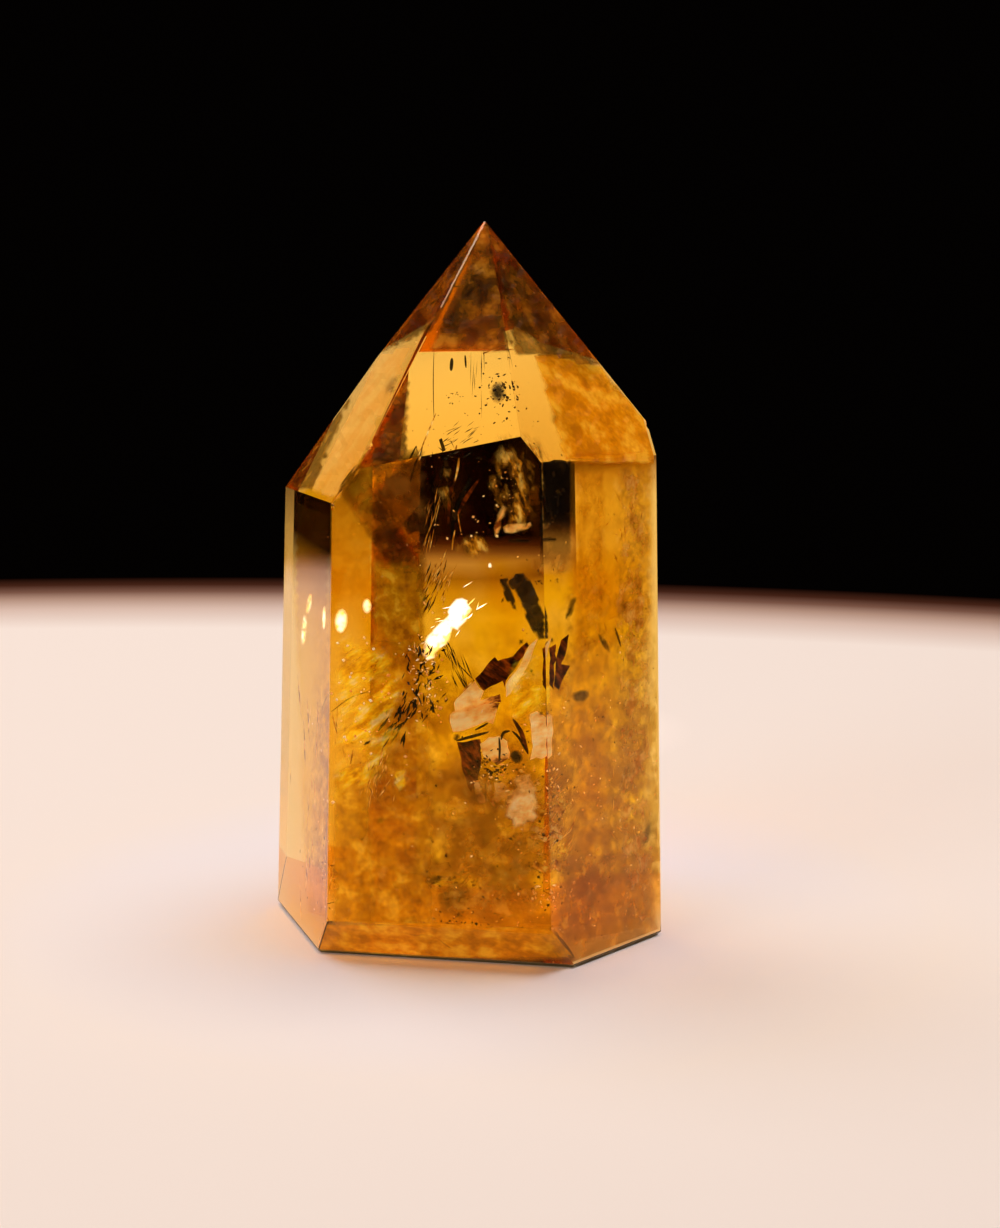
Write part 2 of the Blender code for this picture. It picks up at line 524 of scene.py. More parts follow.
def hazeSheets(count, low, high, size, relief, grain, top, bottom, left, right, seed):
    # Wide wavy sheets that cross the body; top, bottom, left, right: where they start to fade and are gone
    chance = Random(seed)
    meshes = []
    for number in range(count):
        mesh, soft = newMesh()
        middle = Vector([chance.uniform(a, b) * mm for a, b in zip(low, high)])
        turn = (Matrix.Rotation(chance.uniform(-hazeForm["turn"], hazeForm["turn"]), 3, "Z")
                @ Matrix.Rotation(chance.uniform(*hazeForm["lean"]), 3, "X"))
        steps = int(size / hazeForm["cell"])
        bmesh.ops.create_grid(mesh, x_segments=steps, y_segments=steps, size=size * mm / 2)
        facing = turn @ Vector((0.0, 0.0, 1.0))
        for vertex in mesh.verts:
            place = middle + turn @ vertex.co
            wave = noise.fractal(place / (grain * mm) + Vector((number * 5.3, seed, 0.0)), waves["fall"],
                                 waves["finer"], waves["hazeOctaves"])
            vertex.co = place + facing * wave * relief * mm
            share = 1.0
            for at, (full, gone) in ((place.z, top), (place.z, bottom), (place.x, left), (place.x, right)):
                share *= min(1.0, max(0.0, (at / mm - gone) / (full - gone)))
            vertex[soft] = share
        meshes.append(mesh)
    return meshes


veining = {"rough": 0.62, "spread": 2.2, "gapRough": 0.6, "gapScale": 0.7, "gapShift": (3.1, 1.7, 4.3),
           "shine": 0.1}


def inclusionLook(name, tones, grain=3.0, stretch=(1, 1, 1), slant=0.0, cover=1.0, contrast=0.0,
                  opacity=1.0, through=0.4, filterShare=0.0, filterTone=(255, 235, 140), gloss=0.35,
                  glow=0.0, detail=5.0):
    # Tones run from a noise's low to its high; cover and contrast open gaps where a second noise is low
    look = Look(name)
    place = look.node("NewGeometry")
    turned = look.node("Mapping", {"vector_type": "TEXTURE"}, {
        "Vector": place, "Rotation": (0.0, radians(slant), 0.0)})
    scaled = look.node("Mapping", None, {
        "Vector": turned, "Scale": tuple(part / (grain * mm) for part in stretch)})
    pattern = look.node("TexNoise", None, {
        "Vector": scaled, "Scale": 1.0, "Detail": detail, "Roughness": veining["rough"]})
    colour = look.node("ValToRGB", {"stops": [(at, tone(*shade)) for at, shade in tones]},
                       {"Fac": (pattern - 0.5) * veining["spread"] + 0.5})
    level = look.node("Attribute", {"attribute_name": "soft"}, None, 2)
    if contrast:
        moved = look.node("Mapping", None, {"Vector": scaled, "Location": veining["gapShift"]})
        gaps = look.node("TexNoise", None, {
            "Vector": moved, "Scale": veining["gapScale"], "Detail": detail, "Roughness": veining["gapRough"]})
        level = level * look.node("Clamp", None, {0: (gaps - 0.5) * contrast + level * cover})
    # glow feeds Emission: painted light, the piece gives off light of its own though it is no lamp
    body = look.node("BsdfPrincipled", None, {
        "Base Color": colour, "Roughness": gloss, "Specular IOR Level": veining["shine"], "Emission Color": colour,
        "Emission Strength": glow})
    lit = look.node("BsdfTranslucent", None, {"Color": colour})
    solid = look.node("MixShader", None, {0: through, 1: body, 2: lit})
    if filterShare:
        film = look.node("BsdfTransparent", None, {"Color": tone(*filterTone)})
        solid = look.node("MixShader", None, {0: filterShare, 1: solid, 2: film})
    clear = look.node("BsdfTransparent", None, {"Color": (1.0, 1.0, 1.0)})
    return look.finish(look.node("MixShader", None, {0: level * opacity, 1: clear, 2: solid}))


# The ground foot: a matte film where it stands, so that it shows pale through the faces above it; its pale tone
# and faint glow are painted light, standing in for the light that reaches the floor beneath the crystal

groundFoot = {
    "height": 0.55 * mm,
    "rimGap": 0.12 * mm,
    "reach": 40.0 * mm,
    "colour": tone(198, 170, 124),
    # painted light: the foot film glows a little of its own
    "paintedGlow": 0.04,  # light that the crystal leads down to it
}


def makeGroundFoot():
    g = groundFoot
    film = newMesh()[0]
    corners = [film.verts.new((x * g["reach"], y * g["reach"], g["height"]))
               for x, y in ((-1, -1), (1, -1), (1, 1), (-1, 1))]
    film.faces.new(corners)
    look = Look("groundFoot")
    ground = look.finish(look.node("BsdfPrincipled", None, {
        "Base Color": g["colour"], "Roughness": 0.9, "Emission Color": g["colour"],
        "Emission Strength": g["paintedGlow"]}))
    makePiece("ground_foot", [film], ground, g["rimGap"])


makeGroundFoot()

# Haze through the lower body: iron-yellow veils, thickest near the foot

amberHaze = {
    "sheets": {"count": 5, "low": (-9, -16, 4), "high": (14, 10, 32), "size": 48, "relief": 3.0,
               "grain": 14.0, "top": (24, 46), "bottom": (0, -5), "left": (-4, -12), "right": (40, 41),
               "seed": 3},
    "look": {"tones": [(0.25, (96, 70, 4)), (0.5, (214, 178, 24)), (0.8, (255, 232, 110))], "grain": 2.6,
             "cover": 0.5, "contrast": 6.0, "opacity": 0.7, "filterShare": 0.72, "filterTone": (226, 206, 20),
             "detail": 2.0},
}
makePiece("amber_haze", hazeSheets(**amberHaze["sheets"]), inclusionLook("amberHaze", **amberHaze["look"]))

# Brown smoke in the tip

tipSmoke = {
    "sheets": {"count": 3, "low": (-4, -6, 74), "high": (5, 4, 84), "size": 30, "relief": 2.0, "grain": 7.0,
               "top": (95, 99), "bottom": (80, 71), "left": (-40, -41), "right": (40, 41), "seed": 5},
    "look": {"tones": [(0.2, (60, 40, 8)), (0.55, (120, 90, 30)), (0.85, (205, 165, 90))], "grain": 3.5,
             "cover": 0.6, "contrast": 4.0, "opacity": 0.7, "filterShare": 0.8, "filterTone": (130, 132, 70),
             "detail": 3.0},
}
makePiece("tip_smoke", hazeSheets(**tipSmoke["sheets"]), inclusionLook("tipSmoke", **tipSmoke["look"]))

# Iron-yellow growth zones: plain tinted films deep in the body, which take the last blue out of the light

yellowZones = {
    "sheets": {
        "front": {"outline": [(345, 556), (545, 556), (548, 960), (345, 960)], "depth": 30.0, "tilt": (0, 8),
                  "fade": 24, "relief": 1.5, "grain": 14.0, "step": 12, "jitter": 0, "seed": 1},
        "right": {"outline": [(562, 540), (655, 540), (655, 950), (562, 960)], "depth": 17.0, "tilt": (0, 8),
                  "fade": 16, "relief": 1.5, "grain": 14.0, "step": 12, "jitter": 0, "seed": 2},
        "rightSlope": {"outline": [(553, 358), (600, 376), (650, 428), (654, 455), (566, 457)], "depth": 8.0,
                       "fade": 10, "step": 8, "jitter": 0, "seed": 3},
    },
    "look": {"tones": [(0.3, (220, 170, 20)), (0.7, (255, 230, 90))], "grain": 6.0, "cover": 1.0,
             "contrast": 1.6, "opacity": 0.95, "filterShare": 0.93, "filterTone": (250, 236, 30),
             "detail": 2.0},
}
makePiece("yellow_zones", shapes(yellowZones),
          inclusionLook("yellowZones", **yellowZones["look"]))
print("haze spread")

# Bright peach fracture plates in the heart of the crystal, with a glow of their own: painted light that keeps them
# bright

peachPlates = {
    "sheets": {
        "upper": {"outline": [(450, 715), (453, 712), (461, 709), (478, 706), (500, 703), (495, 718),
                              (493, 724), (480, 724), (463, 731), (453, 732)], "depth": 6.0,
                  "tilt": (20, -25), "seed": 2},
        "middle": {"outline": [(480, 744), (489, 737), (499, 736), (507, 741), (509, 758), (497, 765),
                               (484, 757)], "depth": 6.5, "tilt": (-15, 10), "seed": 3},
        "right": {"outline": [(530, 714), (537, 711), (546, 717), (547, 756), (530, 760), (533, 746),
                              (531, 729)], "depth": 2.0, "tilt": (5, 0), "seed": 4},
        "lower": {"outline": [(494, 783), (504, 783), (507, 796), (497, 803), (494, 800)], "depth": 6.0,
                  "seed": 5},
        "shard": {"outline": [(473, 781), (477, 780), (486, 802), (480, 804)], "depth": 6.5, "seed": 6},
        "blade": {"outline": [(538, 638), (529, 646), (519, 666), (506, 684), (506, 697), (511, 693),
                              (523, 674), (529, 663), (533, 651)], "depth": 4.0, "tilt": (5, -10),
                  "jitter": 0.3, "seed": 7},
        "underFeather": {"outline": [(454, 703), (475, 681), (484, 691), (480, 700), (500, 694), (501, 702),
                                     (486, 706), (455, 711)], "depth": 6.2, "tilt": (15, -25), "seed": 10},
        "lowCloud": {"outline": [(512, 776), (531, 774), (538, 790), (534, 822), (514, 830), (505, 810)],
                     "depth": 2.0, "fade": 4.0, "jitter": 1.8, "seed": 11},
        "highLeft": {"outline": [(504, 504), (507, 509), (502, 520), (499, 534), (494, 537), (493, 527),
                                 (497, 514)], "depth": 6.0, "jitter": 0.9, "seed": 8, "fade": 1.5},
        "highRight": {"outline": [(502, 527), (509, 522), (520, 523), (531, 521), (533, 526), (524, 531),
                                  (512, 534), (504, 533)], "depth": 6.0, "jitter": 0.9, "seed": 9,
                      "fade": 1.5},
    },
    "look": {"tones": [(0.16, (120, 60, 14)), (0.32, (230, 164, 78)), (0.56, (250, 204, 128)),
                       (0.85, (255, 232, 182))], "grain": 2.4, "stretch": (0.7, 0.8, 1.3), "slant": -20.0,
             "glow": 0.36},
}
makePiece("peach_plates", shapes(peachPlates),
          inclusionLook("peachPlates", **peachPlates["look"]))

# Brown feathers beside them

brownFeathers = {
    "sheets": {
        "feather": {"outline": [(475, 679), (495, 657), (498, 661), (513, 656), (521, 647), (527, 642),
                                (529, 646), (517, 666), (506, 681), (505, 688), (503, 681), (491, 686),
                                (484, 691)], "depth": 5.5, "tilt": (15, -30), "jitter": 0.4, "seed": 2},
        "wedge": {"outline": [(457, 742), (480, 739), (481, 762), (478, 780), (471, 792), (463, 771)],
                  "depth": 7.0, "tilt": (-25, 10), "seed": 3},
        "rightFeather": {"outline": [(561, 640), (569, 634), (566, 653), (561, 664), (570, 666), (564, 677),
                                     (559, 690), (554, 686), (556, 660)], "depth": 2.5, "tilt": (10, 5),
                         "jitter": 0.4, "seed": 4},
        "rightRibs": {"outline": [(549, 648), (556, 644), (554, 690), (549, 684)], "depth": 2.0, "seed": 6},
        "chip": {"outline": [(411, 652), (419, 647), (424, 655), (421, 663), (413, 661)], "depth": 6.0,
                 "seed": 5},
    },
    "lines": {
        "ember": {"path": [(457, 476), (450, 490), (448, 526)], "width": 3.4, "depth": 8.0},
        "emberShard": {"path": [(479, 479), (470, 492), (463, 503), (458, 514)], "width": 4.0, "depth": 8.0},
        "ridge": {"path": [(513, 719), (521, 731), (524, 741), (528, 754)], "width": 4.6, "depth": 6.0},
    },
    "look": {"tones": [(0.25, (34, 12, 3)), (0.5, (84, 38, 8)), (0.85, (160, 84, 24))], "grain": 1.5,
             "stretch": (0.6, 0.8, 2.0), "slant": 40.0},
}
makePiece("brown_feathers", shapes(brownFeathers),
          inclusionLook("brownFeathers", **brownFeathers["look"]))

# The bright flash where a fracture throws the lamp back, and smaller glare spots: a painted reflection, white
# sheets that glow of their own

whiteFlash = {
    "sheets": {
        "flash": {"outline": [(440, 622), (449, 606), (458, 598), (468, 600), (473, 610), (467, 621),
                              (458, 631), (450, 641), (440, 649), (435, 658), (427, 661), (421, 654),
                              (424, 642), (432, 631)], "depth": 4.0, "tilt": (-20, 20), "jitter": 2.2,
                  "fade": 3.0, "seed": 2},
        "flame": {"outline": oval(309, 604, 6, 24, 10), "depth": 5.0, "fade": 2.0, "seed": 3},
        "flameTail": {"outline": oval(304, 630, 6, 36, 5), "depth": 5.0, "fade": 2.0, "seed": 4},
        "leftSpot": {"outline": oval(341, 621, 14, 26, 5), "depth": 7.0, "fade": 4.0, "seed": 5},
        "nextSpot": {"outline": oval(367, 606, 10, 16), "depth": 7.0, "fade": 3.0, "seed": 6},
        "smallSpot": {"outline": oval(490, 566, 4, 8), "depth": 7.0, "fade": 1.0, "seed": 7},
    },
    "bundles": {
        "sparks": {"path": [(472, 596), (448, 622), (422, 660)], "count": 30, "spread": 22, "length": (4, 14),
                   "width": (0.5, 1.4), "depth": (3, 5), "wander": 0.6, "seed": 9},
    },
    "look": {"tones": [(0.25, (255, 214, 120)), (0.42, (255, 246, 220)), (0.7, (255, 255, 255))],
             "grain": 2.0, "glow": 3.2, "detail": 2.0},
}
makePiece("white_flash", shapes(whiteFlash),
          inclusionLook("whiteFlash", **whiteFlash["look"]))
print("plates set")

# Dark fractures: olive and near-black films, soft at their rims, and fissures seen edge on

darkFractures = {
    "sheets": {
        "tallWedge": {"outline": [(507, 580), (514, 573), (524, 571), (533, 584), (541, 600), (546, 616),
                                  (546, 640), (538, 641), (530, 629), (523, 612), (516, 597)], "depth": 1.2,
                      "fade": 1.6, "jitter": 0.6, "seed": 2},
        "wedgeArm": {"outline": [(499, 578), (508, 576), (514, 592), (518, 612), (511, 610), (503, 596)],
                     "depth": 1.4, "fade": 1.6, "jitter": 0.6, "seed": 24},
        "slit": {"outline": [(499, 580), (503, 579), (505, 602), (500, 604)], "depth": 8.0, "fade": 1.5,
                 "seed": 3},
        "bead": {"outline": oval(521, 642, 7, 15), "depth": 9.0, "fade": 2.0, "seed": 4},
        "lowBead": {"outline": oval(533, 663, 6, 9, 20), "depth": 9.0, "fade": 2.0, "seed": 5},
        "olive": {"outline": oval(516, 757, 16, 17), "depth": 4.0, "fade": 3.0, "jitter": 1.6, "seed": 6},
        "darkPatch": {"outline": oval(457, 737, 10, 9), "depth": 6.4, "fade": 1.0, "seed": 7},
        "spot": {"outline": oval(484, 700, 6, 5), "depth": 5.5, "fade": 1.0, "seed": 8},
        "drop": {"outline": [(496, 703), (500, 703), (498, 712), (494, 722), (492, 719)], "depth": 5.6,
                 "fade": 0.8, "jitter": 0.4, "seed": 9},
        "rightSpot": {"outline": oval(541, 713, 10, 5), "depth": 1.8, "fade": 0.8, "seed": 10},
        "cloud": {"outline": oval(498, 392, 20, 26), "depth": 2.0, "fade": 6.0, "jitter": 2.5, "seed": 11},
        "ruddySpot": {"outline": oval(581, 696, 20, 14, -15), "depth": 4.0, "fade": 3.0, "seed": 12},
        # rightTop: painted shade, a near-black film just behind the top of the right face where it shows the dark
        # room
        "rightTop": {"outline": [(540, 450), (572, 450), (572, 578), (540, 578)], "depth": 0.6, "fade": 2.5,
                     "lowFade": 60.0, "jitter": 0, "step": 3, "seed": 23},
        "rightCloud": {"outline": oval(646, 836, 14, 34, 15), "depth": 4.0, "fade": 7.0, "seed": 13},
        "ridgeCloud": {"outline": oval(391, 385, 15, 26, 25), "depth": 1.2, "fade": 6.0, "seed": 14},
        "tipCloud": {"outline": [(506, 312), (522, 305), (541, 330), (538, 341), (516, 338)], "depth": 5.0,
                     "fade": 7.0, "seed": 15},
        "patch": {"outline": oval(512, 510, 17, 16), "depth": 8.6, "fade": 3.0, "seed": 16},
        "band": {"outline": oval(520, 541, 30, 8, 3), "depth": 8.8, "fade": 2.5, "seed": 17},
        "rightStreak": {"outline": oval(571, 608, 9, 31, 20), "depth": 5.0, "fade": 2.5, "seed": 18},
        "farStreak": {"outline": oval(604, 643, 7, 28, -30), "depth": 4.0, "fade": 2.0, "seed": 19},
        "heartCloud": {"outline": oval(434, 879, 22, 14), "depth": 6.0, "fade": 6.0, "jitter": 2.5,
                       "seed": 20},
        "lowCloud": {"outline": oval(455, 900, 46, 40), "depth": 7.0, "fade": 14.0, "jitter": 2.5,
                     "seed": 21},
        "footCloud": {"outline": oval(409, 921, 26, 12), "depth": 4.0, "fade": 5.0, "seed": 22},
    },
    "lines": {
        "underPlate": {"path": [(456, 741), (470, 737), (489, 732)], "width": 3.2},
        "overPlate": {"path": [(475, 730), (481, 727), (488, 723)], "width": 2.2},
        "besidePlate": {"path": [(499, 737), (500, 748), (499, 764)], "width": 2.4},
        "betweenShards": {"path": [(485, 783), (486, 792), (486, 803)], "width": 1.8},
        "hook": {"path": [(501, 740), (503, 732), (510, 731)], "width": 3.0},
        "arc": {"path": [(512, 731), (519, 737), (526, 751)], "width": 2.6},
        "cuff": {"path": [(471, 478), (465, 490), (455, 510), (451, 540)], "width": 5.0},
        "dash": {"path": [(406, 645), (413, 644), (421, 643)], "width": 3.2},
        "curl": {"path": [(357, 669), (380, 674), (399, 689)], "width": 1.0},
        "longCurl": {"path": [(331, 712), (350, 697), (370, 691)], "width": 1.0},
        "squiggle": {"path": [(505, 802), (510, 806), (507, 811)], "width": 1.8},
        "farSlit": {"path": [(615, 628), (618, 637), (621, 647)], "width": 2.2},
        "shadowLine": {"path": [(474, 680), (469, 685), (464, 692)], "width": 1.6},
        "tubeLeft": {"path": [(452, 358), (451, 371)], "width": 3.6},
        "tubeRight": {"path": [(465, 355), (466, 368)], "width": 2.0},
        "thread": {"path": [(434, 350), (433, 385), (434, 420)], "width": 0.9},
        "shoulderCrack": {"path": [(418, 457), (414, 468), (410, 482)], "width": 2.0},
    },
    "bundles": {
        "shoulder": {"path": [(478, 424), (446, 448)], "count": 22, "spread": 12, "length": (6, 16),
                     "width": (0.5, 1.2), "seed": 2},
        "threads": {"path": [(478, 352), (478, 402)], "count": 9, "spread": 8, "length": (18, 40),
                    "width": (0.4, 0.8), "wander": 0.03, "seed": 3},
        "fan": {"path": [(410, 703), (386, 748)], "count": 28, "spread": 16, "length": (8, 24),
                "width": (1.0, 3.2), "depth": (0.8, 2.4), "wander": 0.35, "seed": 4},
        "slits": {"path": [(441, 570), (426, 612)], "count": 18, "spread": 14, "length": (8, 20),
                  "width": (0.8, 2.0), "seed": 5},
        "dashes": {"path": [(534, 570), (541, 585)], "count": 7, "spread": 4, "length": (2, 4),
                   "width": (1.0, 1.6), "wander": 1.0, "seed": 6},
        "glitterSlits": {"path": [(430, 652), (418, 712)], "count": 64, "spread": 24, "length": (5, 14),
                         "width": (1.0, 3.2), "depth": (0.8, 2.6), "wander": 0.6, "seed": 7},
        "fibreColumn": {"path": [(443, 640), (466, 690)], "count": 30, "spread": 14, "length": (10, 30),
                        "width": (0.6, 1.6), "wander": 0.12, "seed": 8},
        "blackShards": {"path": [(432, 470), (428, 545)], "count": 22, "spread": 16, "length": (8, 26),
                        "width": (0.8, 2.4), "wander": 0.25, "seed": 9},
    },
    "look": {"tones": [(0.25, (5, 3, 1)), (0.55, (20, 12, 3)), (0.85, (58, 38, 9))], "grain": 2.0,
             "cover": 1.6, "contrast": 4.0, "opacity": 0.96, "through": 0.2},
}
makePiece("dark_fractures", shapes(darkFractures), inclusionLook("darkFractures", **darkFractures["look"]))

# Needles and threads that catch the light, with a faint glow of their own: painted light

goldNeedles = {
    "lines": {
        "blackZone": {"path": [(459, 458), (458, 468), (455, 481)], "width": 2.2},
        "emberTail": {"path": [(458, 514), (459, 522), (461, 532)], "width": 1.2, "depth": 8.0},
        "leftLong": {"path": [(436, 512), (430, 528), (423, 546)], "width": 1.2},
        "green": {"path": [(455, 530), (453, 540), (452, 550)], "width": 1.6},
        "crack": {"path": [(436, 413), (428, 432), (418, 457)], "width": 1.4, "depth": 2.0},
        "feathering": {"path": [(473, 681), (468, 686), (463, 691)], "width": 1.8, "depth": 5.2},
        "backRidge": {"path": [(608, 406), (616, 426), (624, 446)], "width": 1.0, "depth": 3.0},
        "paleStreak": {"path": [(581, 371), (585, 382), (588, 393)], "width": 3.6, "depth": 3.0},
        "goldStripe": {"path": [(488, 782), (491, 792), (491, 802)], "width": 4.0, "depth": 6.0},
        "nick": {"path": [(366, 450), (368, 447), (370, 445)], "width": 2.4, "depth": 1.0},
    },
    "bundles": {
        "heart": {"path": [(441, 562), (423, 606)], "count": 46, "spread": 15, "length": (10, 26),
                  "width": (0.6, 1.6), "seed": 11},
        "blackLeft": {"path": [(437, 494), (427, 545)], "count": 16, "spread": 9, "length": (10, 26),
                      "width": (0.5, 1.0), "seed": 12},
        "goldFan": {"path": [(377, 756), (372, 796)], "count": 34, "spread": 16, "length": (12, 36),
                    "width": (0.8, 1.8), "depth": (0.8, 2.4), "wander": 0.3, "seed": 13},
        "fibres": {"path": [(548, 795), (505, 850)], "count": 60, "spread": 40, "length": (8, 24),
                   "width": (0.5, 1.1), "wander": 0.25, "seed": 14},
        "lowFibres": {"path": [(478, 870), (440, 892)], "count": 50, "spread": 26, "length": (6, 18),
                      "width": (0.5, 1.1), "wander": 0.5, "seed": 15},
        "wisps": {"path": [(331, 870), (366, 874)], "count": 26, "spread": 16, "length": (8, 20),
                  "width": (0.8, 2.0), "wander": 0.5, "seed": 16},
        "footLines": {"path": [(400, 950), (420, 957)], "count": 12, "spread": 5, "length": (8, 18),
                      "width": (0.6, 1.4), "depth": (1, 3), "wander": 0.15, "seed": 17},
        "rightLow": {"path": [(568, 826), (556, 850)], "count": 22, "spread": 18, "length": (8, 18),
                     "width": (0.5, 1.2), "seed": 18},
        "rightFace": {"path": [(640, 470), (615, 640), (640, 900)], "count": 60, "spread": 36,
                      "length": (5, 16), "width": (0.5, 1.3), "wander": 0.6, "seed": 19},
        "tipLines": {"path": [(505, 336), (512, 348)], "count": 10, "spread": 8, "length": (3, 8),
                     "width": (0.5, 0.9), "seed": 20},
        "leftFaceStreaks": {"path": [(304, 690), (308, 900)], "count": 18, "spread": 14, "length": (20, 60),
                            "width": (0.5, 1.2), "wander": 0.06, "seed": 21},
    },
    "look": {"tones": [(0.25, (140, 84, 10)), (0.5, (222, 160, 50)), (0.8, (255, 226, 150))], "grain": 1.0,
             "glow": 0.15, "detail": 1.0},
}
makePiece("gold_needles", shapes(goldNeedles), inclusionLook("goldNeedles", **goldNeedles["look"]))

# Glints: painted highlights, small chips of broken quartz painted bright and given a glow of their own

brightGlints = {
    "swarms": {
        "belowFlash": {"middle": (424, 680), "spread": (26, 46), "count": 80, "size": (1.5, 5),
                       "depth": (0.8, 2.6), "seed": 31},
        "heart": {"middle": (494, 770), "spread": (26, 30), "count": 46, "size": (2, 6), "seed": 32},
        "blackZone": {"middle": (470, 520), "spread": (70, 40), "count": 26, "size": (1.5, 3.5), "seed": 33},
        "goldCloud": {"middle": (509, 484), "spread": (22, 34), "count": 34, "size": (1.0, 2.6), "seed": 34},
        "paleCloud": {"middle": (522, 800), "spread": (22, 44), "count": 80, "size": (2, 5), "seed": 35},
        "leftGold": {"middle": (364, 714), "spread": (46, 70), "count": 50, "size": (1.0, 5),
                     "depth": (0.7, 1.5), "flat": 0.8, "seed": 36},
        "frontLow": {"middle": (430, 860), "spread": (150, 130), "count": 260, "size": (1.2, 4),
                     "depth": (1, 16), "seed": 37},
        "rightLow": {"middle": (605, 820), "spread": (80, 200), "count": 220, "size": (1.2, 4.5),
                     "depth": (1, 14), "seed": 38},
        "rightHigh": {"middle": (625, 560), "spread": (44, 160), "count": 90, "size": (1.0, 3.2), "seed": 39},
        "tip": {"middle": (478, 320), "spread": (60, 60), "count": 26, "size": (1.0, 2.6), "seed": 40},
        "brownZone": {"middle": (398, 560), "spread": (44, 100), "count": 60, "size": (1.0, 3.0), "seed": 41},
        "lowRight": {"middle": (543, 896), "spread": (24, 10), "count": 30, "size": (2, 5), "seed": 42},
    },
    "look": {"tones": [(0.25, (235, 170, 90)), (0.5, (255, 222, 160)), (0.8, (255, 246, 230))], "grain": 1.0,
             "glow": 0.2, "gloss": 0.2, "detail": 1.0},
}
makePiece("bright_glints", shapes(brightGlints), inclusionLook("brightGlints", **brightGlints["look"]))

darkFlecks = {
    "swarms": {
        "heart": {"middle": (496, 768), "spread": (24, 18), "count": 60, "size": (2, 6), "depth": (4, 7),
                  "seed": 51},
        "belowFlash": {"middle": (424, 680), "spread": (22, 44), "count": 46, "size": (2, 6), "seed": 52},
        "cloud": {"middle": (499, 392), "spread": (20, 26), "count": 60, "size": (1.5, 5), "depth": (1, 3),
                  "seed": 53},
        "arc": {"middle": (455, 398), "spread": (22, 9), "count": 16, "size": (1.0, 2.2), "seed": 54},
        "frontLow": {"middle": (430, 850), "spread": (150, 140), "count": 260, "size": (1.2, 4.5),
                     "depth": (1, 16), "seed": 55},
        "lowCloud": {"middle": (455, 900), "spread": (44, 40), "count": 120, "size": (1.5, 5), "seed": 56},
        "rightFace": {"middle": (600, 780), "spread": (90, 260), "count": 220, "size": (1.2, 4.0),
                      "seed": 57},
        "paleCloud": {"middle": (520, 805), "spread": (22, 44), "count": 34, "size": (1.5, 4), "seed": 58},
        "bluntTriangle": {"middle": (380, 820), "spread": (1, 1), "count": 2, "size": (7, 9), "seed": 59},
        "tip": {"middle": (500, 320), "spread": (60, 70), "count": 24, "size": (1.0, 3.0), "seed": 60},
        "shoulder": {"middle": (470, 430), "spread": (90, 40), "count": 24, "size": (1.0, 2.4), "seed": 61},
    },
    "look": {"tones": [(0.25, (16, 10, 4)), (0.55, (52, 34, 10)), (0.85, (110, 78, 26))], "grain": 1.5,
             "detail": 1.0},
}
makePiece("dark_flecks", shapes(darkFlecks), inclusionLook("darkFlecks", **darkFlecks["look"]))
print("needles and flecks strewn")
